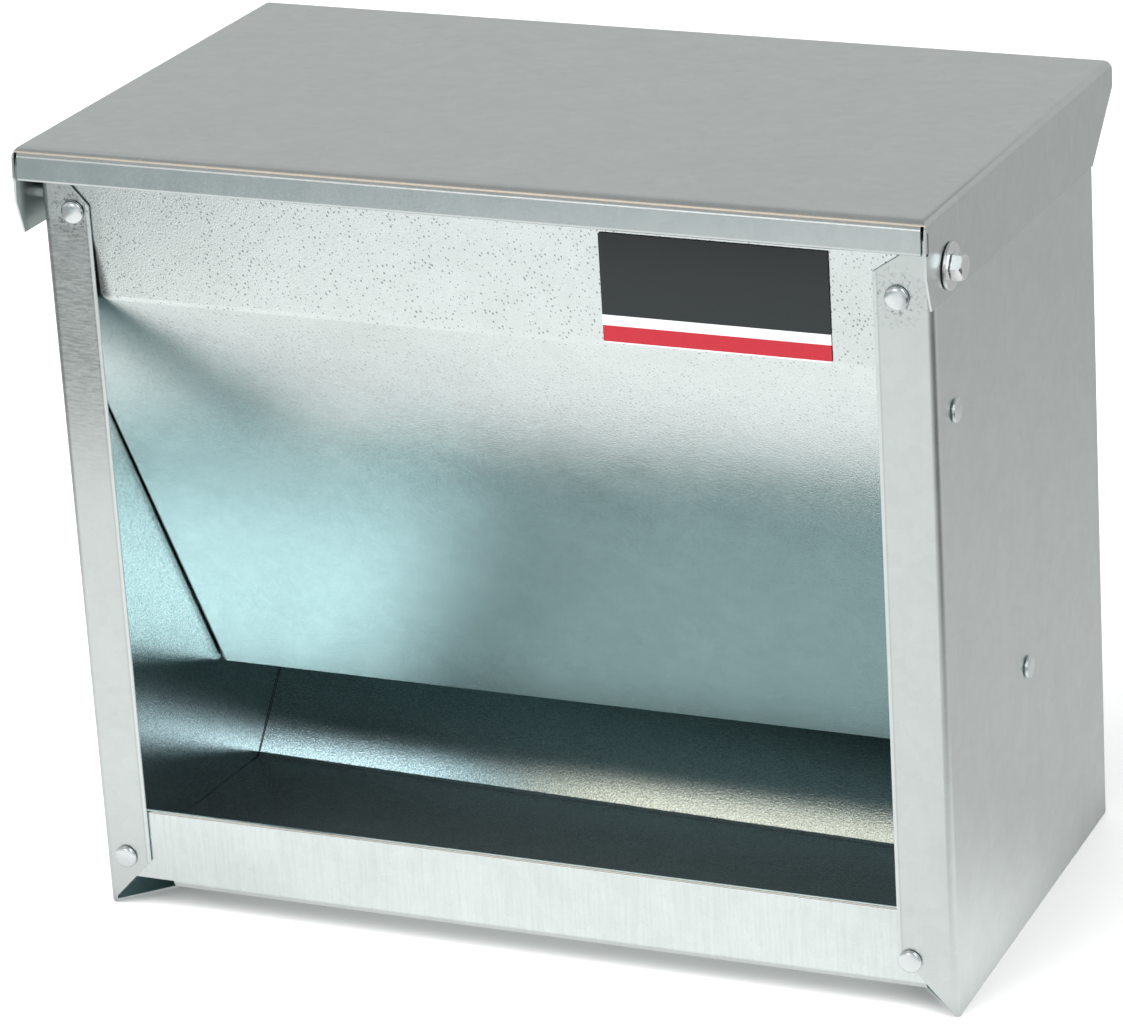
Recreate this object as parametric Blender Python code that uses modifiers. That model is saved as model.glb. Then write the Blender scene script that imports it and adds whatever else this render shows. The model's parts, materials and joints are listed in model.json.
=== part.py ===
"""Galvanised hopper feeder for rabbits: a hinged-lid feed hopper over an open trough.

Units are metres and +Z is up. The front of the feeder, with the trough, faces -Y. The origin is
on the surface the feeder stands on, under the middle of its overall outline. Every sheet-metal
piece is an open surface that stands for its outer face: Bevel rounds the folds and Solidify
gives it its gauge.
"""

import math

import bmesh
import bpy
from mathutils import Matrix, Vector

MM = 0.001

# Sheet metal
GAUGE = 0.6 * MM            # thickness of every folded sheet
GAP = 0.3 * MM              # clearance kept between touching pieces
SIDE_GAP = 1.0 * MM         # clearance between a side panel and the sheets between the panels
FOLD_RADIUS = 2.0 * MM      # outer radius of an ordinary fold
TIGHT_RADIUS = 1.2 * MM     # outer radius of the folds down the sides of the baffle
SHARP_FOLD = 0.0            # a fold left without a radius
HEM_RADIUS = 0.9 * MM       # outer radius of each half of a hem's turn
HEM_THICKNESS = 2.0 * MM    # outside of a hem, across both layers
WIDEST_FOLD = 3.0 * MM      # outer radius that an edge's bevel weight of 1 stands for

# Body: two side panels, closed by the trough-and-back sheet and by the baffle
BODY_WIDTH = 254.0 * MM
BODY_DEPTH = 133.8 * MM
BODY_HEIGHT = 221.0 * MM
BODY_CENTRE_X = 1.1 * MM    # the lid hangs to the left by its side play, so the body sits to the right
BODY_FRONT_Y = -70.0 * MM
FRONT_FLANGE = {"left": 14.2 * MM, "right": 16.5 * MM}
REAR_FLANGE = 14.0 * MM
BOTTOM_FLANGE = 14.2 * MM
CORNER_RELIEF = 0.8 * MM    # the upright flanges' mitres start this far above the bottom fold
TOP_MITRE_RISE = {"left": 10.0 * MM, "right": 9.5 * MM}
TOP_MITRE_RUN = {"left": 9.0 * MM, "right": 14.0 * MM}

# Trough and back, one sheet: lip, front, floor, slope, back
LIP_Z = 30.3 * MM
LIP_HEM = 7.0 * MM
TROUGH_FRONT_Z = 6.4 * MM   # underside of the floor where it meets the front
TROUGH_FOLD = 3.0 * MM      # outer radius of the fold between the front and the floor
CREASE_Y = 97.4 * MM        # from the body's front to the fold between the floor and the slope
CREASE_Z = 1.3 * MM
SLOPE_TOP_Z = 40.0 * MM
BACK_TOP_Z = 220.6 * MM
NOTCH_WIDTH = {"left": 18.8 * MM, "right": 7.5 * MM}
NOTCH_TOP_Z = 9.3 * MM
NOTCH_DEPTH = 5.0 * MM

# Baffle: upright front with the label, then a slope down and back to the throat
BAFFLE_TOP_Z = 220.4 * MM
BAFFLE_CREASE_Z = 184.7 * MM
BAFFLE_FOOT_Y = 79.4 * MM
BAFFLE_FOOT_Z = 41.3 * MM
BAFFLE_FLANGE = 12.0 * MM

# Label
LABEL_SIZE = (63.3 * MM, 0.2 * MM, 30.4 * MM)
LABEL_CENTRE = (193.9 * MM, 200.5 * MM)     # from the body's left side, and height

# Lid
LID_WIDTH = 258.6 * MM
LID_FRONT = 17.6 * MM       # from the pivot forward to the front flange
LID_REAR = 139.4 * MM       # from the pivot back to the lifting edge
LID_RISE = 16.8 * MM        # from the pivot up to the top face
LID_FRONT_FLANGE = 9.5 * MM
LID_SIDE_FLANGE = 24.9 * MM
LID_HEM = 6.0 * MM
LID_CORNER_GAP = 2.0 * MM   # the front flange stops this far short of each side's outside
LID_DROOP = math.radians(2.9)   # the shut lid rests on the back panel, a little below its pivots
LID_TIP = (3.6 * MM, 9.6 * MM)      # front corner cut of the side flange: run, rise
LID_TAIL = (18.0 * MM, 17.6 * MM)   # rear corner cut of the side flange: run, rise

# Pivot: from the body's front and the ground
PIVOT_Y = 8.7 * MM
PIVOT_Z = 211.5 * MM
BOLT_RADIUS = 2.0 * MM
BOLT_HEAD_FLATS = 6.6 * MM
BOLT_HEAD_HEIGHT = 3.0 * MM
WASHER_RADIUS = 6.35 * MM
WASHER_THICKNESS = 0.9 * MM
NUT_FLATS = 7.0 * MM
NUT_HEIGHT = 2.4 * MM
BOLT_END = 0.8 * MM         # thread showing past the nut

# Rivets
RIVET_HEAD_RADIUS = 3.3 * MM
RIVET_HEAD_HEIGHT = 1.3 * MM
RIVET_SHANK_RADIUS = 1.6 * MM
RIVET_TAIL_RADIUS = 2.5 * MM
RIVET_TAIL_END_RADIUS = 2.0 * MM
RIVET_TAIL_HEIGHT = 1.2 * MM
FLAT_GRIP = 2 * GAUGE + 3 * GAP     # two sheets, with the clearance between and on both sides
SIDE_GRIP = 2 * GAUGE + 2 * GAP + SIDE_GAP
HOLE_CLEARANCE = 0.3 * MM
PIVOT_DRILL = 30.0 * MM     # length of the cutters, longer than what they go through
RIVET_DRILL = 8.0 * MM
ROUND_SEGMENTS = 24

# Rivet centres. Front and rear: distance in from the side, height. Baffle: distance back, height.
FRONT_RIVETS = {
    "front_rivet_top_left": ("left", 9.4 * MM, 209.2 * MM),
    "front_rivet_top_right": ("right", 9.9 * MM, 205.2 * MM),
    "front_rivet_bottom_left": ("left", 6.6 * MM, 15.7 * MM),
    "front_rivet_bottom_right": ("right", 13.0 * MM, 15.7 * MM),
}
REAR_RIVETS = {
    "rear_rivet_top_left": ("left", 8.0 * MM, 208.0 * MM),
    "rear_rivet_top_right": ("right", 8.0 * MM, 208.0 * MM),
    "rear_rivet_bottom_left": ("left", 8.0 * MM, 56.0 * MM),
    "rear_rivet_bottom_right": ("right", 8.0 * MM, 56.0 * MM),
}
BAFFLE_RIVETS = {
    "baffle_rivet_upper": (12.8 * MM, 170.3 * MM),
    "baffle_rivet_lower": (65.4 * MM, 75.0 * MM),
}

# Where things are
LEFT_X = BODY_CENTRE_X - BODY_WIDTH / 2
RIGHT_X = BODY_CENTRE_X + BODY_WIDTH / 2
REAR_Y = BODY_FRONT_Y + BODY_DEPTH
INNER_FRONT_Y = BODY_FRONT_Y + GAUGE + GAP      # front face of the sheets inside the front flanges
INNER_REAR_Y = REAR_Y - GAUGE - GAP
INNER_LEFT_X = LEFT_X + GAUGE + SIDE_GAP
INNER_RIGHT_X = RIGHT_X - GAUGE - SIDE_GAP
SIDE_SIGN = {"left": -1, "right": 1}
SIDE_X = {"left": LEFT_X, "right": RIGHT_X}

COLOURS = {
    "galvanised": ((0.60, 0.62, 0.62, 1.0), 1.0, 0.38),
    "lid_steel": ((0.46, 0.48, 0.48, 1.0), 1.0, 0.42),
    "aluminium": ((0.72, 0.74, 0.74, 1.0), 1.0, 0.30),
    "zinc_plate": ((0.50, 0.51, 0.52, 1.0), 1.0, 0.35),
    "label_film": ((0.05, 0.06, 0.06, 1.0), 0.0, 0.35),
}


def clear_scene():
    for obj in list(bpy.data.objects):
        bpy.data.objects.remove(obj, do_unlink=True)


def make_collection(name):
    collection = bpy.data.collections.new(name)
    bpy.context.scene.collection.children.link(collection)
    return collection


def make_material(name, finish):
    colour, metallic, roughness = COLOURS[finish]
    material = bpy.data.materials.new(name)
    material.use_nodes = True
    shader = material.node_tree.nodes["Principled BSDF"]
    shader.inputs["Base Color"].default_value = colour
    shader.inputs["Metallic"].default_value = metallic
    shader.inputs["Roughness"].default_value = roughness
    return material


def add_object(name, bm, collection, finish=None):
    """Turn a bmesh into a named object."""
    mesh = bpy.data.meshes.new(name)
    bm.to_mesh(mesh)
    bm.free()
    obj = bpy.data.objects.new(name, mesh)
    collection.objects.link(obj)
    if finish:
        mesh.materials.append(make_material(name, finish))
    return obj


# Folded sheet metal

def bend_weights(bm):
    return bm.edges.layers.float.get("bevel_weight_edge") or bm.edges.layers.float.new("bevel_weight_edge")


def start_sheet(width_vector, height_vector, corner):
    """A flat rectangle, from one corner along two vectors."""
    bm = bmesh.new()
    bend_weights(bm)
    bmesh.ops.create_grid(bm, x_segments=1, y_segments=1, size=0.5)
    for vert in bm.verts:
        vert.co = corner + width_vector * (vert.co.x + 0.5) + height_vector * (vert.co.y + 0.5)
    return bm


def edge_at(bm, point):
    """The edge whose middle is nearest to a point."""
    return min(bm.edges, key=lambda edge: ((edge.verts[0].co + edge.verts[1].co) / 2 - point).length)


def fold(bm, edge, offset, radius=FOLD_RADIUS, trims=()):
    """Extrude a flange from an edge. trims is a list of (towards point, distance) for its corners."""
    weights = bend_weights(bm)
    edge[weights] = radius / WIDEST_FOLD
    made = bmesh.ops.extrude_edge_only(bm, edges=[edge])["geom"]
    verts = [item for item in made if isinstance(item, bmesh.types.BMVert)]
    bmesh.ops.translate(bm, verts=verts, vec=offset)
    for end, distance in trims:
        vert = min(verts, key=lambda v: (v.co - end).length)
        other = verts[0] if vert is verts[1] else verts[1]
        vert.co += (other.co - vert.co).normalized() * distance
    return next(item for item in made if isinstance(item, bmesh.types.BMEdge))


def ribbon(points, x_from, x_to, radii):
    """A folded strip: a path in the YZ plane swept along X, with the radius of each inner fold."""
    bm = bmesh.new()
    weights = bend_weights(bm)
    verts = [bm.verts.new((x_from, y, z)) for y, z in points]
    path = [bm.edges.new(pair) for pair in zip(verts, verts[1:])]
    made = bmesh.ops.extrude_edge_only(bm, edges=path)["geom"]
    moved = [item for item in made if isinstance(item, bmesh.types.BMVert)]
    bmesh.ops.translate(bm, verts=moved, vec=(x_to - x_from, 0, 0))
    for (y, z), radius in zip(points[1:-1], radii):
        crease = edge_at(bm, Vector(((x_from + x_to) / 2, y, z)))
        crease[weights] = radius / WIDEST_FOLD
    return bm


def finish_sheet(name, bm, collection, outward, finish="galvanised"):
    """Make a sheet of even gauge from its outer face, which faces outward where it lies farthest out."""
    outward = Vector(outward)
    bmesh.ops.recalc_face_normals(bm, faces=bm.faces)
    farthest = max(bm.faces, key=lambda face: face.calc_center_median().dot(outward))
    if farthest.normal.dot(outward) < 0:
        bmesh.ops.reverse_faces(bm, faces=bm.faces)
    sheet = add_object(name, bm, collection, finish)
    bend = sheet.modifiers.new("bends", "BEVEL")
    bend.limit_method = "WEIGHT"
    bend.width = WIDEST_FOLD
    bend.segments = 3
    gauge = sheet.modifiers.new("gauge", "SOLIDIFY")
    gauge.thickness = GAUGE
    gauge.offset = -1
    gauge.use_even_offset = True
    return sheet


def cut(obj, cutter):
    hole = obj.modifiers.new("cut_" + cutter.name, "BOOLEAN")
    hole.operation = "DIFFERENCE"
    hole.object = cutter


def hide_cutter(cutter):
    cutter.hide_render = True
    cutter.display_type = "WIRE"


def cylinder(radius, length, segments=ROUND_SEGMENTS):
    """A capped cylinder on the Z axis, centred on the origin."""
    bm = bmesh.new()
    bmesh.ops.create_cone(
        bm, cap_ends=True, segments=segments, radius1=radius, radius2=radius, depth=length
    )
    return bm


def drill(name, targets, centre, axis, radius, length, cutters):
    """Cut one round hole through one or more sheets."""
    drill_bit = add_object("drill_" + name, cylinder(radius, length), cutters)
    drill_bit.location = centre
    drill_bit.rotation_euler = Vector(axis).to_track_quat("Z", "Y").to_euler()
    hide_cutter(drill_bit)
    for target in targets:
        cut(target, drill_bit)


# The sheets

def make_side_panel(side, parts):
    """One side: a flat plate with a front, a rear and a bottom flange turned inwards."""
    x = SIDE_X[side]
    inward = Vector((-SIDE_SIGN[side], 0, 0))
    front = FRONT_FLANGE[side]
    bm = start_sheet(
        Vector((0, BODY_DEPTH, 0)), Vector((0, 0, BODY_HEIGHT)), Vector((x, BODY_FRONT_Y, 0))
    )
    middle_y = BODY_FRONT_Y + BODY_DEPTH / 2
    flange_top = Vector((x, BODY_FRONT_Y, BODY_HEIGHT)) + inward * front
    flange_foot = Vector((x, BODY_FRONT_Y, 0)) + inward * front
    free_edge = fold(
        bm, edge_at(bm, Vector((x, BODY_FRONT_Y, BODY_HEIGHT / 2))), inward * front,
        trims=[(flange_top, TOP_MITRE_RISE[side]), (flange_foot, front + CORNER_RELIEF)],
    )
    slice_top_corner(bm, free_edge, side)
    fold(
        bm, edge_at(bm, Vector((x, REAR_Y, BODY_HEIGHT / 2))), inward * REAR_FLANGE,
        trims=[(Vector((x, REAR_Y, 0)) + inward * REAR_FLANGE, REAR_FLANGE + CORNER_RELIEF)],
    )
    fold(
        bm, edge_at(bm, Vector((x, middle_y, 0))), inward * BOTTOM_FLANGE, SHARP_FOLD,
        trims=[
            (Vector((x, BODY_FRONT_Y, 0)) + inward * BOTTOM_FLANGE, BOTTOM_FLANGE),
            (Vector((x, REAR_Y, 0)) + inward * BOTTOM_FLANGE, BOTTOM_FLANGE),
        ],
    )
    return finish_sheet("side_panel_" + side, bm, parts, -inward)


def slice_top_corner(bm, free_edge, side):
    """Keep the front flange full width along its top as far as the mitre's run allows."""
    top = max(free_edge.verts, key=lambda v: v.co.z)
    x_fold = SIDE_X[side]
    inward = -SIDE_SIGN[side]
    top_edge = next(
        edge for edge in top.link_edges
        if edge is not free_edge and abs(edge.other_vert(top).co.x - x_fold) < GAP
    )
    start = x_fold + inward * (FRONT_FLANGE[side] - TOP_MITRE_RUN[side])
    share = abs(start - x_fold) / FRONT_FLANGE[side]
    fold_vert = top_edge.other_vert(top)
    split = bmesh.utils.edge_split(top_edge, fold_vert, share)
    split[1].co = Vector((start, BODY_FRONT_Y, BODY_HEIGHT))


def make_trough_back(parts, cutters):
    """Trough and back in one sheet, from the hemmed lip under the feeder and up to the lid."""
    hem_y = INNER_FRONT_Y + HEM_THICKNESS
    crease_y = BODY_FRONT_Y + CREASE_Y
    points = [
        (hem_y, LIP_Z - LIP_HEM),
        (hem_y, LIP_Z),
        (INNER_FRONT_Y, LIP_Z),
        (INNER_FRONT_Y, TROUGH_FRONT_Z),
        (crease_y, CREASE_Z),
        (INNER_REAR_Y, SLOPE_TOP_Z),
        (INNER_REAR_Y, BACK_TOP_Z),
    ]
    radii = [HEM_RADIUS, HEM_RADIUS, TROUGH_FOLD, FOLD_RADIUS, FOLD_RADIUS]
    bm = ribbon(points, INNER_LEFT_X, INNER_RIGHT_X, radii)
    sheet = finish_sheet("trough_back", bm, parts, (0, -1, 0))
    for side, x in (("left", INNER_LEFT_X), ("right", INNER_RIGHT_X)):
        notch_bm = bmesh.new()
        bmesh.ops.create_cube(notch_bm, size=1.0)
        width = 2 * NOTCH_WIDTH[side]
        height = 2 * (NOTCH_TOP_Z - CREASE_Z)
        size = Matrix.Diagonal((width, 2 * NOTCH_DEPTH, height, 1.0))
        bmesh.ops.transform(notch_bm, matrix=size, verts=notch_bm.verts)
        notch = add_object("notch_" + side, notch_bm, cutters)
        notch.location = (x, INNER_FRONT_Y, CREASE_Z)
        hide_cutter(notch)
        cut(sheet, notch)
    return sheet


def baffle_point(height):
    """The baffle's front face at a height below its crease."""
    crease = Vector((0, INNER_FRONT_Y, BAFFLE_CREASE_Z))
    foot = Vector((0, BODY_FRONT_Y + BAFFLE_FOOT_Y, BAFFLE_FOOT_Z))
    share = (crease.z - height) / (crease.z - foot.z)
    return crease.lerp(foot, share)


def make_baffle(parts):
    """Upright front and sloping baffle in one sheet, with a flange down each side of the slope."""
    foot_y = BODY_FRONT_Y + BAFFLE_FOOT_Y
    points = [
        (INNER_FRONT_Y, BAFFLE_TOP_Z),
        (INNER_FRONT_Y, BAFFLE_CREASE_Z),
        (foot_y, BAFFLE_FOOT_Z),
    ]
    bm = ribbon(points, INNER_LEFT_X, INNER_RIGHT_X, [FOLD_RADIUS])
    slope = Vector((0, foot_y - INNER_FRONT_Y, BAFFLE_FOOT_Z - BAFFLE_CREASE_Z)).normalized()
    behind = Vector((0, -slope.z, slope.y)) * BAFFLE_FLANGE
    middle = baffle_point((BAFFLE_CREASE_Z + BAFFLE_FOOT_Z) / 2)
    crease = baffle_point(BAFFLE_CREASE_Z)
    foot = baffle_point(BAFFLE_FOOT_Z)
    for x in (INNER_LEFT_X, INNER_RIGHT_X):
        side_edge = edge_at(bm, middle + Vector((x, 0, 0)))
        top_corner = crease + behind + Vector((x, 0, 0))
        foot_corner = foot + behind + Vector((x, 0, 0))
        trims = [(top_corner, BAFFLE_FLANGE), (foot_corner, BAFFLE_FLANGE / 2)]
        fold(bm, side_edge, behind, TIGHT_RADIUS, trims)
    return finish_sheet("baffle", bm, parts, (0, -1, 0))


def make_label(parts):
    bm = bmesh.new()
    bmesh.ops.create_cube(bm, size=1.0)
    bmesh.ops.transform(bm, matrix=Matrix.Diagonal((*LABEL_SIZE, 1.0)), verts=bm.verts)
    label = add_object("label", bm, parts, "label_film")
    label_y = INNER_FRONT_Y - GAP - LABEL_SIZE[1] / 2
    label.location = (LEFT_X + LABEL_CENTRE[0], label_y, LABEL_CENTRE[1])
    return label


def make_lid(parts):
    """Flat top, hemmed front flange and deep side flanges, modelled level about its pivot line."""
    half = LID_WIDTH / 2
    bm = start_sheet(
        Vector((LID_WIDTH, 0, 0)),
        Vector((0, LID_FRONT + LID_REAR, 0)),
        Vector((-half, -LID_FRONT, LID_RISE)),
    )
    down = Vector((0, 0, -LID_FRONT_FLANGE))
    front_edge = edge_at(bm, Vector((0, -LID_FRONT, LID_RISE)))
    trims = [(Vector((x, -LID_FRONT, LID_RISE)) + down, LID_CORNER_GAP) for x in (-half, half)]
    front = fold(bm, front_edge, down, trims=trims)
    under = fold(bm, front, Vector((0, HEM_THICKNESS, 0)), HEM_RADIUS)
    fold(bm, under, Vector((0, 0, LID_HEM)), HEM_RADIUS)
    for x in (-half, half):
        side_edge = edge_at(bm, Vector((x, (LID_REAR - LID_FRONT) / 2, LID_RISE)))
        tip = Vector((x, -LID_FRONT, LID_RISE - LID_SIDE_FLANGE))
        tail = Vector((x, LID_REAR, LID_RISE - LID_SIDE_FLANGE))
        free_edge = fold(
            bm, side_edge, Vector((0, 0, -LID_SIDE_FLANGE)),
            trims=[(tip, LID_TIP[0]), (tail, LID_TAIL[0])],
        )
        ends = sorted(free_edge.verts, key=lambda v: v.co.y)
        for vert, rise in zip(ends, (LID_TIP[1], LID_TAIL[1])):
            cut_corner(bm, vert, free_edge, rise)
    lid = finish_sheet("lid", bm, parts, (0, 0, 1), "lid_steel")
    lid.location = (0, BODY_FRONT_Y + PIVOT_Y, PIVOT_Z)
    lid.rotation_euler = (-LID_DROOP, 0, 0)
    return lid


def cut_corner(bm, vert, free_edge, rise):
    """Turn a flange's slanted end into an upright one with its corner cut off."""
    end_edge = next(
        edge for edge in vert.link_edges
        if edge is not free_edge and abs(edge.other_vert(vert).co.z - LID_RISE) < GAP
    )
    top = end_edge.other_vert(vert)
    corner_y = top.co.y
    new_vert = bmesh.utils.edge_split(end_edge, top, 0.5)[1]
    new_vert.co = Vector((vert.co.x, corner_y, vert.co.z + rise))


# Fasteners

def make_rivet(name, head, outward, grip, parts):
    """A domed rivet, turned about its own axis; head is the middle of its head's underside."""
    dome_steps = 5
    dome = [
        (RIVET_HEAD_RADIUS * math.sin(angle), RIVET_HEAD_HEIGHT * math.cos(angle))
        for angle in (math.pi / 2 * step / dome_steps for step in range(dome_steps + 1))
    ]
    tail_top = -grip
    profile = dome + [
        (RIVET_SHANK_RADIUS, 0),
        (RIVET_SHANK_RADIUS, tail_top),
        (RIVET_TAIL_RADIUS, tail_top),
        (RIVET_TAIL_END_RADIUS, tail_top - RIVET_TAIL_HEIGHT),
        (0, tail_top - RIVET_TAIL_HEIGHT),
    ]
    bm = bmesh.new()
    verts = [bm.verts.new((radius, 0, height)) for radius, height in profile]
    for pair in zip(verts, verts[1:]):
        bm.edges.new(pair)
    rivet = add_object(name, bm, parts, "aluminium")
    turn = rivet.modifiers.new("turn", "SCREW")
    turn.steps = ROUND_SEGMENTS
    turn.render_steps = ROUND_SEGMENTS
    turn.use_merge_vertices = True
    turn.merge_threshold = 0.00001
    rivet.location = head
    rivet.rotation_euler = Vector(outward).to_track_quat("Z", "Y").to_euler()
    return rivet


def make_hexagon(name, flats, height, parts, finish="zinc_plate"):
    corner_radius = flats / math.sqrt(3)
    return add_object(name, cylinder(corner_radius, height, 6), parts, finish)


def make_pivot(side, panel, lid, parts, cutters):
    """Bolt through the lid flange and the side panel, with a washer outside and a nut inside."""
    sign = SIDE_SIGN[side]
    pivot_y = BODY_FRONT_Y + PIVOT_Y
    lid_face = sign * LID_WIDTH / 2
    washer_x = lid_face + sign * (GAP + WASHER_THICKNESS / 2)
    head_seat = lid_face + sign * (2 * GAP + WASHER_THICKNESS)
    nut_seat = SIDE_X[side] - sign * (GAUGE + GAP)
    shank_end = nut_seat - sign * (NUT_HEIGHT + BOLT_END)
    outward = (sign, 0, 0)
    turn = Vector(outward).to_track_quat("Z", "Y").to_euler()

    bolt = make_hexagon("pivot_bolt_" + side, BOLT_HEAD_FLATS, BOLT_HEAD_HEIGHT, parts)
    bolt.location = (head_seat + sign * BOLT_HEAD_HEIGHT / 2, pivot_y, PIVOT_Z)
    bolt.rotation_euler = turn
    shank_top = head_seat + sign * BOLT_HEAD_HEIGHT / 2
    shank_bm = cylinder(BOLT_RADIUS, abs(shank_top - shank_end))
    shank = add_object("shank_" + side, shank_bm, cutters)
    shank.location = ((shank_top + shank_end) / 2, pivot_y, PIVOT_Z)
    shank.rotation_euler = turn
    hide_cutter(shank)
    union = bolt.modifiers.new("shank", "BOOLEAN")
    union.operation = "UNION"
    union.object = shank

    washer_bm = cylinder(WASHER_RADIUS, WASHER_THICKNESS)
    washer = add_object("pivot_washer_" + side, washer_bm, parts, "zinc_plate")
    washer.location = (washer_x, pivot_y, PIVOT_Z)
    washer.rotation_euler = turn
    nut = make_hexagon("pivot_nut_" + side, NUT_FLATS, NUT_HEIGHT, parts)
    nut.location = (nut_seat - sign * NUT_HEIGHT / 2, pivot_y, PIVOT_Z)
    nut.rotation_euler = turn
    centre = (lid_face, pivot_y, PIVOT_Z)
    hole_radius = BOLT_RADIUS + HOLE_CLEARANCE
    drilled = [washer, nut, panel, lid]
    drill("pivot_" + side, drilled, centre, outward, hole_radius, PIVOT_DRILL, cutters)


def add_rivets(panels, trough_back, baffle, parts, cutters):
    """Rivet the front, the rear and the baffle's flanges to both side panels."""
    hole_radius = RIVET_SHANK_RADIUS + HOLE_CLEARANCE
    for name, (side, inset, height) in FRONT_RIVETS.items():
        x = SIDE_X[side] - SIDE_SIGN[side] * inset
        inner = baffle if "top" in name else trough_back
        head = (x, BODY_FRONT_Y - GAP, height)
        make_rivet(name, head, (0, -1, 0), FLAT_GRIP, parts)
        drill(name, [panels[side], inner], head, (0, 1, 0), hole_radius, RIVET_DRILL, cutters)
    for name, (side, inset, height) in REAR_RIVETS.items():
        x = SIDE_X[side] - SIDE_SIGN[side] * inset
        head = (x, REAR_Y + GAP, height)
        make_rivet(name, head, (0, 1, 0), FLAT_GRIP, parts)
        drill(name, [panels[side], trough_back], head, (0, 1, 0), hole_radius, RIVET_DRILL, cutters)
    for side, sign in SIDE_SIGN.items():
        for name, (depth, height) in BAFFLE_RIVETS.items():
            head = (SIDE_X[side] + sign * GAP, BODY_FRONT_Y + depth, height)
            side_name = f"{name}_{side}"
            make_rivet(side_name, head, (sign, 0, 0), SIDE_GRIP, parts)
            drill(side_name, [panels[side], baffle], head, (1, 0, 0), hole_radius, RIVET_DRILL, cutters)


def shade_round(parts):
    for obj in parts.objects:
        obj.data.shade_smooth()
        obj.data.set_sharp_from_angle(angle=math.radians(35))


def main():
    clear_scene()
    parts = make_collection("rabbit_feeder")
    cutters = make_collection("cutters")
    panels = {side: make_side_panel(side, parts) for side in SIDE_SIGN}
    trough_back = make_trough_back(parts, cutters)
    baffle = make_baffle(parts)
    make_label(parts)
    lid = make_lid(parts)
    for side in SIDE_SIGN:
        make_pivot(side, panels[side], lid, parts, cutters)
    add_rivets(panels, trough_back, baffle, parts, cutters)
    shade_round(parts)


main()
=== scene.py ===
"""Looks for a galvanised rabbit feeder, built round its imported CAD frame.

Every sheet is rebuilt with fuller folds and finer edges than the CAD needs, and every fastener
with its real form. Places come from the frame. Units are metres, +Z is up, and the trough faces -Y.
"""

import json
import math

import bmesh
import bpy
from mathutils import Matrix, Vector


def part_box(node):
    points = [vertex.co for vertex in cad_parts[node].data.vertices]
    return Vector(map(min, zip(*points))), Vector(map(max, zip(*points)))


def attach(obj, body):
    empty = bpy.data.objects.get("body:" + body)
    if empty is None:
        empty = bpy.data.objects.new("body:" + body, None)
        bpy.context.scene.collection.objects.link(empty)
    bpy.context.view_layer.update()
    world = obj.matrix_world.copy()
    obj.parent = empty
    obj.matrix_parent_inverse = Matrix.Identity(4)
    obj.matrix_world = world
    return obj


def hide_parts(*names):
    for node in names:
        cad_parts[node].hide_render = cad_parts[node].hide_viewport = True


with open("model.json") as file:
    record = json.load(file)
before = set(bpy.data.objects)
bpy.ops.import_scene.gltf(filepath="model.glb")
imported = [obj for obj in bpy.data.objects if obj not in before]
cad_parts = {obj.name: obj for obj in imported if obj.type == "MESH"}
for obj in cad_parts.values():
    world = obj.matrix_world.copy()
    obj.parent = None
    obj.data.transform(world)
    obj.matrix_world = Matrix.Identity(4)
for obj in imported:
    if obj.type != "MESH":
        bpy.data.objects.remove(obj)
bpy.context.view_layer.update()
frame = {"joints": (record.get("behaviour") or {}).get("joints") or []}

MM = 0.001

# Sheet metal
GAUGE = 0.6 * MM            # thickness of every folded sheet
WIDEST_FOLD = 4.0 * MM      # outer radius that an edge's bevel weight of 1 stands for
SHARP_FOLD = 0.0            # a fold left without a radius
PANEL_FOLD = 2.2 * MM       # front and rear folds of the side panels
BAFFLE_FOLD = 1.2 * MM      # between the baffle's upright front and its slope
BAFFLE_SIDE_FOLD = 1.8 * MM
TROUGH_FOLD = 3.2 * MM      # between the trough's front and its floor
CREASE_FOLD = 2.0 * MM      # between the floor and the slope
SLOPE_FOLD = 4.0 * MM       # between the slope and the back
LID_FOLD = 2.4 * MM
LID_FRONT_FOLD = 3.6 * MM
HEM_FOLD = 0.95 * MM        # each half of a hem's turn
HEM_THICKNESS = 2.0 * MM    # outside of a hem, across both layers
FOLD_SEGMENTS = 8
CUT_EDGE = 0.12 * MM        # rounding of a sheared edge
PANEL_EDGE = 0.22 * MM      # the same, on the side panels
EDGE_SEGMENTS = 2
SEAM = 0.06 * MM            # hairline between the trough and each side panel
BAFFLE_GAP = 0.4 * MM       # between the baffle and each side panel

# Material slots of a sheet. The side panels have two more, inside their front and bottom flanges,
# for darker copies of the zinc that paint shade there.
OUTSIDE, INSIDE, RIM, FLANGE_BACK, FLANGE_FOOT = range(5)

# Side panels
REAR_FLANGE = 14.0 * MM
BOTTOM_FLANGE = 14.2 * MM
CORNER_RELIEF = 0.8 * MM    # the upright flanges' mitres start this far above the bottom fold
TOP_MITRE_RISE = {"left": 10.0 * MM, "right": 9.5 * MM}
TOP_MITRE_RUN = {"left": 9.0 * MM, "right": 14.0 * MM}

# Trough and back
LIP_Z = 30.3 * MM
LIP_HEM = 7.0 * MM
TROUGH_FRONT_Z = 6.4 * MM
CREASE_Y = 97.4 * MM        # the floor's rear end, from the body's front, at the left
CREASE_Z = 1.3 * MM
CREASE_SKEW = 10.0 * MM     # how much farther forward the crease is at the right
KNEE_Z = 26.0 * MM          # the slope bows gently above this
KNEE_SKEW = 6.5 * MM
FLOOR_STEPS = 12
TROUGH_COLUMNS = 12
SLOPE_TOP_Z = 40.0 * MM
NOTCH_WIDTH = {"left": 18.8 * MM, "right": 7.5 * MM}
NOTCH_TOP_Z = 9.3 * MM
NOTCH_DEPTH = 5.0 * MM

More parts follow.
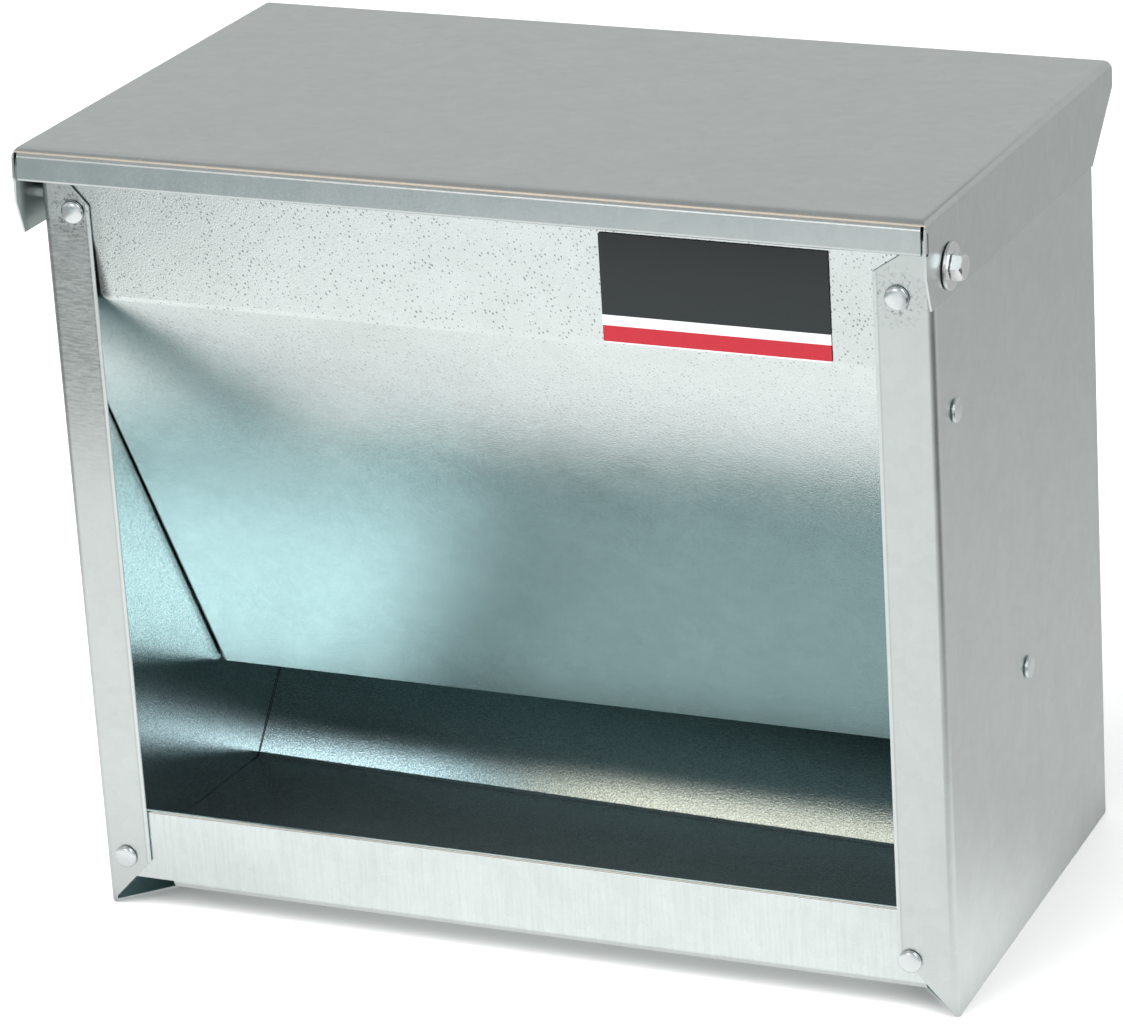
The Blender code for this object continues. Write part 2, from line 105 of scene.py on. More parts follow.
# Baffle
BAFFLE_CREASE_Z = 184.7 * MM
BAFFLE_FOOT_Y = 79.4 * MM   # from the body's front
BAFFLE_FOOT_Z = 41.3 * MM
BAFFLE_FLANGE = 12.0 * MM
CORNER_PULL = 5.0 * MM      # how far the left end of its crease is pulled back
CORNER_PULL_POWER = 1.5
CORNER_WIDTH = 17.0 * MM    # how far the pull reaches along the crease,
CORNER_RISE = 18.0 * MM     # above it,
CORNER_DROP = 14.0 * MM     # and below it, down the slope
CORNER_STEPS = 14

# Lid, level about its pivot line before it droops
LID_FRONT = 17.6 * MM
LID_REAR = 139.4 * MM
LID_RISE = 16.8 * MM
LID_FRONT_FLANGE = 9.5 * MM
LID_SIDE_FLANGE = 24.9 * MM
LID_HEM = 6.0 * MM
LID_CORNER_GAP = 1.5 * MM   # between each end of the front flange and the side flange's outside
LID_RELIEF = 1.6 * MM       # how far below the top that gap ends
LID_SPLAY = 0.40 * MM       # the front flange springs open a little
LID_DROOP = math.radians(2.9)
LID_TIP = (3.6 * MM, 9.6 * MM)      # front corner cut of the side flange: run, rise
LID_TAIL = (18.0 * MM, 17.6 * MM)   # rear corner cut of the side flange: run, rise

# Fasteners
RIVET_RADIUS = 3.3 * MM
RIVET_HEIGHT = 1.3 * MM
RIVET_RIM = 0.325 * MM      # height of the head's rim, under its dome
RIVET_SHANK = 1.6 * MM
RIVET_TAIL = 2.5 * MM
RIVET_TAIL_HEIGHT = 1.2 * MM
DOME_STEPS = 12
DOME_POWER = 0.75           # flattens the dome
BOLT_RADIUS = 2.0 * MM
BOLT_FLATS = 6.6 * MM
BOLT_CHAMFER = 0.7 * MM
BOLT_TURN = math.radians(23)
BOLT_LIFT = 0.3 * MM        # clearance between the head and the washer
THREAD_PITCH = 0.7 * MM
THREAD_DEPTH = 0.3 * MM
THREAD_SEGMENTS = 24
NUT_FLATS = 7.0 * MM
NUT_CHAMFER = 0.6 * MM
HEX_EDGE = 0.08 * MM        # rounding of the hexagons' edges
HEX_SIDES = 6
WASHER_RADIUS = 6.35 * MM
WASHER_ROLL = 0.3 * MM      # rounding of the washer's outer face
WASHER_BURR = 0.05 * MM
HOLE_CLEARANCE = 0.3 * MM
ROUND_SEGMENTS = 48
WELD = 0.002 * MM           # points of a turned piece closer than this become one

# Label
LABEL_CORNER = 0.2 * MM
LABEL_EDGE = 0.04 * MM

SIDES = {"left": -1, "right": 1}


# The frame's places

def node_box(name):
    low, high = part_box(name)
    return Vector(low), Vector(high)


PANEL_BOX = {side: node_box("side_panel_" + side) for side in SIDES}
TROUGH_BOX = node_box("trough_back")
BAFFLE_BOX = node_box("baffle")
LID_BOX = node_box("lid")
LABEL_BOX = node_box("label")

FRONT_Y = PANEL_BOX["left"][0].y
REAR_Y = PANEL_BOX["left"][1].y
BODY_HEIGHT = PANEL_BOX["left"][1].z
PANEL_X = {"left": PANEL_BOX["left"][0].x, "right": PANEL_BOX["right"][1].x}
FRONT_FLANGE = {side: PANEL_BOX[side][1].x - PANEL_BOX[side][0].x for side in SIDES}
INNER_X = (TROUGH_BOX[0].x, TROUGH_BOX[1].x)
INNER_FRONT_Y = TROUGH_BOX[0].y
INNER_REAR_Y = TROUGH_BOX[1].y
HINGE = next(joint for joint in frame["joints"] if joint["name"] == "lid_hinge")
PIVOT_Y = HINGE["pos_m"][1]
PIVOT_Z = HINGE["pos_m"][2]


def middle_of(name):
    low, high = node_box(name)
    return (low + high) / 2


# Sheets

def bend_weights(bm):
    layers = bm.edges.layers.float
    return layers.get("bevel_weight_edge") or layers.new("bevel_weight_edge")


def start_sheet(width_vector, height_vector, corner):
    """A flat rectangle, from one corner along two vectors."""
    bm = bmesh.new()
    bend_weights(bm)
    bmesh.ops.create_grid(bm, x_segments=1, y_segments=1, size=0.5)
    for vert in bm.verts:
        vert.co = corner + width_vector * (vert.co.x + 0.5) + height_vector * (vert.co.y + 0.5)
    return bm


def edge_at(bm, point):
    """The edge whose middle is nearest to a point."""
    return min(bm.edges, key=lambda e: ((e.verts[0].co + e.verts[1].co) / 2 - point).length)


def fold(bm, edge, offset, radius, trims=()):
    """Extrude a flange from an edge and return its free edge.

    trims is a list of (corner, distance): how far each named corner is cut back along that edge.
    """
    edge[bend_weights(bm)] = radius / WIDEST_FOLD
    made = bmesh.ops.extrude_edge_only(bm, edges=[edge])["geom"]
    verts = [item for item in made if isinstance(item, bmesh.types.BMVert)]
    bmesh.ops.translate(bm, verts=verts, vec=offset)
    for end, distance in trims:
        vert = min(verts, key=lambda v: (v.co - end).length)
        other = verts[0] if vert is verts[1] else verts[1]
        vert.co += (other.co - vert.co).normalized() * distance
    return next(item for item in made if isinstance(item, bmesh.types.BMEdge))


def ribbon(points, columns, radii):
    """A path in the YZ plane swept through some X, with a radius for each of its inner folds."""
    bm = bmesh.new()
    weights = bend_weights(bm)
    rows = [[bm.verts.new((x, y, z)) for y, z in points] for x in columns]
    for row, after in zip(rows, rows[1:]):
        for index in range(len(points) - 1):
            bm.faces.new((row[index], row[index + 1], after[index + 1], after[index]))
        for vert, other, radius in zip(row[1:-1], after[1:-1], radii):
            bm.edges.get((vert, other))[weights] = radius / WIDEST_FOLD
    return bm


def new_object(name, bm):
    mesh = bpy.data.meshes.new(name)
    bm.to_mesh(mesh)
    bm.free()
    obj = bpy.data.objects.new(name, mesh)
    bpy.context.scene.collection.objects.link(obj)
    return obj


def settle(obj):
    """Apply an object's modifiers and its place, so that its mesh is final and in the row frame."""
    bpy.context.view_layer.update()
    graph = bpy.context.evaluated_depsgraph_get()
    mesh = bpy.data.meshes.new_from_object(obj.evaluated_get(graph))
    mesh.transform(obj.matrix_world)
    old = obj.data
    obj.modifiers.clear()
    obj.data = mesh
    obj.matrix_world = Matrix.Identity(4)
    bpy.data.meshes.remove(old)
    mesh.name = obj.name
    return obj


def cylinder(radius, length, segments=ROUND_SEGMENTS):
    bm = bmesh.new()
    bmesh.ops.create_cone(
        bm, cap_ends=True, segments=segments, radius1=radius, radius2=radius, depth=length
    )
    return bm


def finish_sheet(name, bm, outward, materials, cutters=(), place=None, cut_edge=CUT_EDGE):
    """Give an outer surface its gauge, holes, rounded cut edges and materials, in slot order."""
    outward = Vector(outward)
    bmesh.ops.recalc_face_normals(bm, faces=bm.faces)
    farthest = max(bm.faces, key=lambda face: face.calc_center_median().dot(outward))
    if farthest.normal.dot(outward) < 0:
        bmesh.ops.reverse_faces(bm, faces=bm.faces)
    sheet = new_object(name, bm)
    for material in materials:
        sheet.data.materials.append(material)
    if place:
        sheet.matrix_world = place
    bend = sheet.modifiers.new("bends", "BEVEL")
    bend.limit_method = "WEIGHT"
    bend.width = WIDEST_FOLD
    bend.segments = FOLD_SEGMENTS
    gauge = sheet.modifiers.new("gauge", "SOLIDIFY")
    gauge.thickness = GAUGE
    gauge.offset = -1
    gauge.use_even_offset = True
    gauge.material_offset = INSIDE
    gauge.material_offset_rim = RIM
    for cutter in cutters:
        hole = sheet.modifiers.new("hole", "BOOLEAN")
        hole.operation = "DIFFERENCE"
        hole.object = cutter
    edges = sheet.modifiers.new("cut_edges", "BEVEL")
    edges.limit_method = "ANGLE"
    edges.angle_limit = math.radians(60)
    edges.width = cut_edge
    edges.segments = EDGE_SEGMENTS
    edges.material = RIM
    return shade(settle(sheet))


def shade(obj, angle=40):
    """Smooth shading that keeps flat faces flat."""
    obj.data.shade_smooth()
    obj.data.set_sharp_from_angle(angle=math.radians(angle))
    weighted = obj.modifiers.new("flat_faces", "WEIGHTED_NORMAL")
    weighted.keep_sharp = True
    weighted.weight = 100
    return settle(obj)


def place_on(obj, body, node):
    """Let a piece stand for its CAD node, on the node's body."""
    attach(obj, body)
    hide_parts(node)
    return obj


def drill(radius, length):
    """A cutter on the pivot line."""
    bit = new_object("drill", cylinder(radius, length))
    bit.location = (0, PIVOT_Y, PIVOT_Z)
    bit.rotation_euler = (0, math.pi / 2, 0)
    return bit


def box_between(low, high):
    low, high = Vector(low), Vector(high)
    bm = bmesh.new()
    bmesh.ops.create_cube(bm, size=1.0)
    bmesh.ops.transform(bm, matrix=Matrix.Diagonal((*(high - low), 1.0)), verts=bm.verts)
    bmesh.ops.translate(bm, verts=bm.verts, vec=(low + high) / 2)
    return bm


def discard(*objs):
    for obj in objs:
        bpy.data.objects.remove(obj, do_unlink=True)


def make_side_panel(side, materials, bit):
    """A plate with a mitred front, rear and bottom flange."""
    x = PANEL_X[side]
    sign = SIDES[side]
    inward = Vector((-sign, 0, 0))
    front = FRONT_FLANGE[side]
    depth = REAR_Y - FRONT_Y
    bm = start_sheet(Vector((0, depth, 0)), Vector((0, 0, BODY_HEIGHT)), Vector((x, FRONT_Y, 0)))
    flange_top = Vector((x, FRONT_Y, BODY_HEIGHT)) + inward * front
    flange_foot = Vector((x, FRONT_Y, 0)) + inward * front
    free_edge = fold(
        bm, edge_at(bm, Vector((x, FRONT_Y, BODY_HEIGHT / 2))), inward * front, PANEL_FOLD,
        trims=[(flange_top, TOP_MITRE_RISE[side]), (flange_foot, front + CORNER_RELIEF)],
    )
    slice_top_corner(free_edge, side)
    fold(
        bm, edge_at(bm, Vector((x, REAR_Y, BODY_HEIGHT / 2))), inward * REAR_FLANGE, PANEL_FOLD,
        trims=[(Vector((x, REAR_Y, 0)) + inward * REAR_FLANGE, REAR_FLANGE + CORNER_RELIEF)],
    )
    fold(
        bm, edge_at(bm, Vector((x, (FRONT_Y + REAR_Y) / 2, 0))),
        inward * BOTTOM_FLANGE, SHARP_FOLD,
        trims=[
            (Vector((x, y, 0)) + inward * BOTTOM_FLANGE, BOTTOM_FLANGE) for y in (FRONT_Y, REAR_Y)
        ],
    )
    name = "skin_side_panel_" + side
    sheet = finish_sheet(name, bm, -inward, materials, [bit], cut_edge=PANEL_EDGE)
    # Painted shade: the back of the front flange and the top of the bottom flange take darker
    # copies of the zinc
    for face in sheet.data.polygons:
        if face.material_index != INSIDE:
            continue
        if face.normal.y > 0.5 and face.center.y < FRONT_Y + PANEL_FOLD:
            face.material_index = FLANGE_BACK
        elif face.normal.z > 0.5 and face.center.z < 2 * GAUGE:
            face.material_index = FLANGE_FOOT
    for vert in sheet.data.vertices:
        vert.co.z = max(vert.co.z, 0.0)
    return sheet


def slice_top_corner(free_edge, side):
    """Keep the front flange full width along its top as far as the mitre's run allows."""
    top = max(free_edge.verts, key=lambda v: v.co.z)
    x_fold = PANEL_X[side]
    top_edge = next(
        edge for edge in top.link_edges
        if edge is not free_edge and abs(edge.other_vert(top).co.x - x_fold) < GAUGE
    )
    run_start = FRONT_FLANGE[side] - TOP_MITRE_RUN[side]
    fold_vert = top_edge.other_vert(top)
    split = bmesh.utils.edge_split(top_edge, fold_vert, run_start / FRONT_FLANGE[side])
    split[1].co = Vector((x_fold - SIDES[side] * run_start, FRONT_Y, BODY_HEIGHT))


def make_trough_back(materials):
    """A hemmed lip, the trough's front, a bowed floor, a slope with a slight knee, and the back."""
    hem_y = INNER_FRONT_Y + HEM_THICKNESS
    crease_y = FRONT_Y + CREASE_Y
    knee_y = crease_y + (INNER_REAR_Y - crease_y) * (KNEE_Z - CREASE_Z) / (SLOPE_TOP_Z - CREASE_Z)
    floor_line = []
    for step in range(1, FLOOR_STEPS):
        share = step / FLOOR_STEPS
        sag = (TROUGH_FRONT_Z - CREASE_Z) * share ** 2
        y = INNER_FRONT_Y + (crease_y - INNER_FRONT_Y) * share
        floor_line.append((y, TROUGH_FRONT_Z - sag))
    points = [
        (hem_y, LIP_Z - LIP_HEM),
        (hem_y, LIP_Z),
        (INNER_FRONT_Y, LIP_Z),
        (INNER_FRONT_Y, TROUGH_FRONT_Z),
        *floor_line,
        (crease_y, CREASE_Z),
        (knee_y, KNEE_Z),
        (INNER_REAR_Y, SLOPE_TOP_Z),
        (INNER_REAR_Y, TROUGH_BOX[1].z),
    ]
    radii = [
        HEM_FOLD, HEM_FOLD, TROUGH_FOLD, *[SHARP_FOLD] * len(floor_line),
        CREASE_FOLD, SHARP_FOLD, SLOPE_FOLD,
    ]
    ends = [PANEL_X[side] - SIDES[side] * (GAUGE + SEAM) for side in SIDES]
    width = ends[1] - ends[0]
    columns = [ends[0] + width * step / TROUGH_COLUMNS for step in range(TROUGH_COLUMNS + 1)]
    bm = ribbon(points, columns, radii)
    for vert in bm.verts:
        along = min(1.0, (vert.co.y - INNER_FRONT_Y) / (crease_y - INNER_FRONT_Y))
        across = (vert.co.x - ends[0]) / width
        if vert.co.z < TROUGH_FRONT_Z:
            vert.co.y -= CREASE_SKEW * along * across
        elif abs(vert.co.z - KNEE_Z) < GAUGE:
            vert.co.y -= KNEE_SKEW * across
    notches = []
    for side, x in zip(SIDES, INNER_X):
        inner = x - SIDES[side] * NOTCH_WIDTH[side]
        outer = x + SIDES[side] * NOTCH_WIDTH[side]
        low = (min(inner, outer), INNER_FRONT_Y - NOTCH_DEPTH, CREASE_Z - NOTCH_DEPTH)
        high = (max(inner, outer), INNER_FRONT_Y + NOTCH_DEPTH, NOTCH_TOP_Z)
        notches.append(new_object("notch", box_between(low, high)))
    name = "skin_trough_back"
    sheet = finish_sheet(name, bm, (0, -1, 0), materials, notches, cut_edge=SEAM / 2)
    discard(*notches)
    return sheet


def make_baffle(materials):
    """The upright front and the slope below it, with the left end of the crease pulled back."""
    foot_y = FRONT_Y + BAFFLE_FOOT_Y
    front_y = BAFFLE_BOX[0].y
    crease = Vector((0, front_y, BAFFLE_CREASE_Z))
    foot = Vector((0, foot_y, BAFFLE_FOOT_Z))
    slope = (foot - crease).normalized()
    settled = crease + slope * CORNER_DROP
    points = [
        (front_y, BAFFLE_BOX[1].z), (front_y, BAFFLE_CREASE_Z + CORNER_RISE),
        (crease.y, crease.z), (settled.y, settled.z), (foot.y, foot.z),
    ]
    ends = [PANEL_X[side] - SIDES[side] * (GAUGE + BAFFLE_GAP) for side in SIDES]
    columns = [ends[0] + CORNER_WIDTH * step / CORNER_STEPS for step in range(CORNER_STEPS + 1)]
    bm = ribbon(points, [*columns, ends[1]], [SHARP_FOLD, BAFFLE_FOLD, SHARP_FOLD])
    for vert in bm.verts:
        if abs(vert.co.z - crease.z) < GAUGE:
            pull = max(0.0, 1 - (vert.co.x - ends[0]) / CORNER_WIDTH)
            vert.co.y += CORNER_PULL * pull ** CORNER_PULL_POWER
    behind = Vector((0, -slope.z, slope.y)) * BAFFLE_FLANGE
    for x in ends:
        across = Vector((x, 0, 0))
        side_edge = edge_at(bm, (crease + foot) / 2 + across)
        trims = [
            (settled + behind + across, BAFFLE_FLANGE),
            (foot + behind + across, BAFFLE_FLANGE / 2),
        ]
        fold(bm, side_edge, behind, BAFFLE_SIDE_FOLD, trims)
    return finish_sheet("skin_baffle", bm, (0, -1, 0), materials)


def make_lid(materials, bit):
    """A flat top with a hemmed front flange and two side flanges with cut corners."""
    width = LID_BOX[1].x - LID_BOX[0].x
    half = width / 2
    bm = start_sheet(
        Vector((width, 0, 0)),
        Vector((0, LID_FRONT + LID_REAR - LID_SPLAY, 0)),
        Vector((-half, LID_SPLAY - LID_FRONT, LID_RISE)),
    )
    down = Vector((0, -LID_SPLAY, -LID_FRONT_FLANGE))
    front_edge = edge_at(bm, Vector((0, LID_SPLAY - LID_FRONT, LID_RISE)))
    front = fold(bm, front_edge, down, LID_FRONT_FOLD)
    under = fold(bm, front, Vector((0, HEM_THICKNESS, 0)), HEM_FOLD)
    fold(bm, under, Vector((0, 0, LID_HEM)), HEM_FOLD)
    for x in (-half, half):
        side_edge = edge_at(bm, Vector((x, (LID_REAR - LID_FRONT) / 2, LID_RISE)))
        tip = Vector((x, LID_SPLAY - LID_FRONT, LID_RISE - LID_SIDE_FLANGE))
        tail = Vector((x, LID_REAR, LID_RISE - LID_SIDE_FLANGE))
        drop = Vector((0, 0, -LID_SIDE_FLANGE))
        free_edge = fold(
            bm, side_edge, drop, LID_FOLD, trims=[(tip, LID_TIP[0]), (tail, LID_TAIL[0])]
        )
        ends = sorted(free_edge.verts, key=lambda v: v.co.y)
        for vert, rise in zip(ends, (LID_TIP[1], LID_TAIL[1])):
            cut_corner(vert, free_edge, rise)
    middle_x = (LID_BOX[0].x + LID_BOX[1].x) / 2
    place = Matrix.Translation((middle_x, PIVOT_Y, PIVOT_Z)) @ Matrix.Rotation(-LID_DROOP, 4, "X")
    gaps = []
    gap_reach = (half - LID_CORNER_GAP, half - GAUGE - CUT_EDGE / 2)
    for sign in SIDES.values():
        near, far = sorted(sign * reach for reach in gap_reach)
        low = (near, -LID_FRONT - LID_HEM, LID_RISE - LID_SIDE_FLANGE)
        high = (far, -LID_FRONT + LID_HEM, LID_RISE - LID_RELIEF)
        gap = new_object("gap", box_between(low, high))
        gap.matrix_world = place
        gaps.append(gap)
    sheet = finish_sheet("skin_lid", bm, (0, 0, 1), materials, [bit, *gaps], place)
    discard(*gaps)
    # The lid's underside keeps the dark inside slot, which is painted shade; the flanges' inner
    # faces take the outside zinc
    for face in sheet.data.polygons:
        if face.material_index == INSIDE and abs(face.normal.z) < 0.5:
            face.material_index = OUTSIDE
    return sheet


def cut_corner(vert, free_edge, rise):
    """Turn a flange's slanted end into an upright one with its corner cut off."""
    end_edge = next(
        edge for edge in vert.link_edges
        if edge is not free_edge and abs(edge.other_vert(vert).co.z - LID_RISE) < GAUGE
    )
    top = end_edge.other_vert(vert)
    corner_y = top.co.y
    new_vert = bmesh.utils.edge_split(end_edge, top, 0.5)[1]
    new_vert.co = Vector((vert.co.x, corner_y, vert.co.z + rise))


# Fasteners

def turned_outline(name, profile):
    """A closed profile of (radius, height) turned about the Z axis."""
    bm = bmesh.new()
    verts = [bm.verts.new((radius, 0, height)) for radius, height in profile]
    for pair in zip(verts, verts[1:]):
        bm.edges.new(pair)
    obj = new_object(name, bm)
    turn = obj.modifiers.new("turn", "SCREW")
    turn.steps = ROUND_SEGMENTS
    turn.render_steps = ROUND_SEGMENTS
    turn.use_merge_vertices = True
    turn.merge_threshold = WELD
    return obj


def turned(name, profile, centre, axis, material):
    """A piece with a turned outline, standing on a centre along an axis."""
    obj = turned_outline(name, profile)
    obj.data.materials.append(material)
    obj.location = centre
    obj.rotation_euler = Vector(axis).to_track_quat("Z", "Y").to_euler()
    return shade(settle(obj), 50)


def make_rivet(node, axis, material):
    """A set rivet: a shallow domed head with a rolled rim, and a spread tail behind the sheets."""
    low, high = node_box(node)
    axis = Vector(axis)
    middle = (low + high) / 2
    reach = abs((high - low).dot(axis)) / 2
    seat = middle + axis * reach - axis * RIVET_HEIGHT
    tail_end = -(2 * reach - RIVET_HEIGHT)
    tail_top = tail_end + RIVET_TAIL_HEIGHT
    profile = [(0.0, RIVET_HEIGHT)]
    for step in range(1, DOME_STEPS + 1):
        angle = math.pi / 2 * step / DOME_STEPS
        height = RIVET_RIM + (RIVET_HEIGHT - RIVET_RIM) * math.cos(angle) ** DOME_POWER
        profile.append((RIVET_RADIUS * math.sin(angle), height))
    profile += [
        (RIVET_RADIUS - 0.05 * MM, RIVET_RIM * 0.3),
        (RIVET_RADIUS - 0.3 * MM, 0.0),
        (RIVET_SHANK, 0.0),
        (RIVET_SHANK, tail_top),
        (RIVET_TAIL - 0.2 * MM, tail_top),
        (RIVET_TAIL, tail_top - 0.2 * MM),
        (RIVET_TAIL, tail_end + 0.5 * MM),
        (RIVET_TAIL - 0.5 * MM, tail_end),
        (0.0, tail_end),
    ]
    return turned("skin_" + node, profile, seat, axis, material)


def hexagon(flats, height, chamfer, bore=0.0):
    """A hexagonal prism on the Z axis from 0 to height, its outer end chamfered round."""
    bm = bmesh.new()
    corner = flats / math.sqrt(3)
    bmesh.ops.create_cone(
        bm, cap_ends=True, segments=HEX_SIDES, radius1=corner, radius2=corner, depth=height
    )
    bmesh.ops.translate(bm, verts=bm.verts, vec=(0, 0, height / 2))
    prism = new_object("prism", bm)
    cone = turned_outline("cone", [
        (0.0, height),
        (flats / 2 * 0.94, height),
        (corner, height - chamfer),
        (corner * 1.1, height - chamfer * 1.6),
        (corner * 1.1, -height),
        (0.0, -height),
    ])
    combine(prism, cone, "INTERSECT")
    cutters = [cone]
    if bore:
        hole = new_object("bore", cylinder(bore, 4 * height))
        combine(prism, hole, "DIFFERENCE")
        cutters.append(hole)
    return prism, cutters


def combine(obj, other, operation):
    step = obj.modifiers.new(other.name, "BOOLEAN")
    step.operation = operation
    step.object = other


def soften(obj, width):
    edges = obj.modifiers.new("edges", "BEVEL")
    edges.limit_method = "ANGLE"
    edges.angle_limit = math.radians(25)
    edges.width = width
    edges.segments = EDGE_SEGMENTS
    return obj


def seat_hexagon(node, prism, cutters, seat, facing, turn, material):
    """Place a prism and its cutters on the pivot line, and make it final."""
    prism.name = "skin_" + node
    prism.data.materials.append(material)
    soften(prism, HEX_EDGE)
    outwards = Vector((facing, 0, 0)).to_track_quat("Z", "Y").to_matrix().to_4x4()
    place = Matrix.Translation((seat, PIVOT_Y, PIVOT_Z)) @ outwards
    place = place @ Matrix.Rotation(turn, 4, "Z")
    for item in (prism, *cutters):
        item.matrix_world = place
    settle(prism)
    discard(*cutters)
    return shade(prism, 30)


def make_bolt(side, material):
    """A hexagon-headed bolt: chamfered head outside, threaded shank to just past the nut."""
    node = "pivot_bolt_" + side
    sign = SIDES[side]
    low, high = node_box(node)
    inner, outer = (low.x, high.x) if sign > 0 else (high.x, low.x)
    washer_low, washer_high = node_box("pivot_washer_" + side)
    seat = (washer_high.x if sign > 0 else washer_low.x) + sign * BOLT_LIFT
    prism, cutters = hexagon(BOLT_FLATS, abs(outer - seat), BOLT_CHAMFER)
    shank = new_object("shank", thread(BOLT_RADIUS, abs(seat - inner), THREAD_PITCH))
    combine(prism, shank, "UNION")
    cutters.append(shank)
    return seat_hexagon(node, prism, cutters, seat, sign, BOLT_TURN, material)


def thread(radius, length, pitch):
    """A closed shank below Z = 0 with ring-shaped thread grooves, and a little overlap above 0."""
    overlap = 0.2 * MM
    tip = 0.3 * MM
    profile = [(0.0, overlap), (radius, overlap)]
    for index in range(int(length / pitch)):
        top = -pitch * index
        profile.append((radius, top - 0.15 * pitch))
        profile.append((radius - THREAD_DEPTH, top - 0.5 * pitch))
        profile.append((radius, top - 0.85 * pitch))
    profile += [(radius, -length + tip), (radius - tip, -length), (0.0, -length)]
    bm = bmesh.new()
    rings = []
    for ring_radius, z in profile:
        if ring_radius == 0.0:
            rings.append([bm.verts.new((0, 0, z))])
            continue
        angles = [2 * math.pi * step / THREAD_SEGMENTS for step in range(THREAD_SEGMENTS)]
        rings.append([
            bm.verts.new((ring_radius * math.cos(angle), ring_radius * math.sin(angle), z))
            for angle in angles
        ])
    for upper, lower in zip(rings, rings[1:]):
        for step in range(THREAD_SEGMENTS):
            after = (step + 1) % THREAD_SEGMENTS
            corners = [
                upper[step % len(upper)], lower[step % len(lower)],
                lower[after % len(lower)], upper[after % len(upper)],
            ]
            bm.faces.new(list(dict.fromkeys(corners)))
    bmesh.ops.recalc_face_normals(bm, faces=bm.faces)
    return bm


def make_nut(side, material):
    node = "pivot_nut_" + side
    sign = SIDES[side]
    low, high = node_box(node)
    seat = high.x if sign > 0 else low.x
    bore = BOLT_RADIUS + HOLE_CLEARANCE
    prism, cutters = hexagon(NUT_FLATS, high.x - low.x, NUT_CHAMFER, bore)
    return seat_hexagon(node, prism, cutters, seat, -sign, 0.0, material)


def make_washer(side, material):
    """A stamped washer: one edge rolled over, the other with its shear burr."""
    node = "pivot_washer_" + side
    sign = SIDES[side]
    low, high = node_box(node)
    centre = Vector((low.x if sign > 0 else high.x, PIVOT_Y, PIVOT_Z))
    thick = high.x - low.x
    inner = BOLT_RADIUS + HOLE_CLEARANCE
    outer = WASHER_RADIUS
    roll, burr = WASHER_ROLL, WASHER_BURR
    profile = [
        (inner, thick - roll), (inner + roll * 0.3, thick - roll * 0.3), (inner + roll, thick),
        (outer - roll, thick), (outer - roll * 0.3, thick - roll * 0.3),
        (outer, thick - roll), (outer, burr), (outer - burr, 0.0),
        (inner + burr, 0.0), (inner, burr), (inner, thick - roll),
    ]
    return turned("skin_" + node, profile, centre, (sign, 0, 0), material)


def make_label(material):
    """A thin film with rounded corners."""
    bm = box_between(*LABEL_BOX)
    thickness = LABEL_BOX[1].y - LABEL_BOX[0].y
    corners = [e for e in bm.edges if abs((e.verts[0].co - e.verts[1].co).y) > thickness / 2]
    bmesh.ops.bevel(bm, geom=corners, offset=LABEL_CORNER, segments=3, affect="EDGES")
    label = new_object("skin_label", bm)
    label.data.materials.append(material)
    soften(label, LABEL_EDGE)
    return shade(settle(label), 30)


# Materials

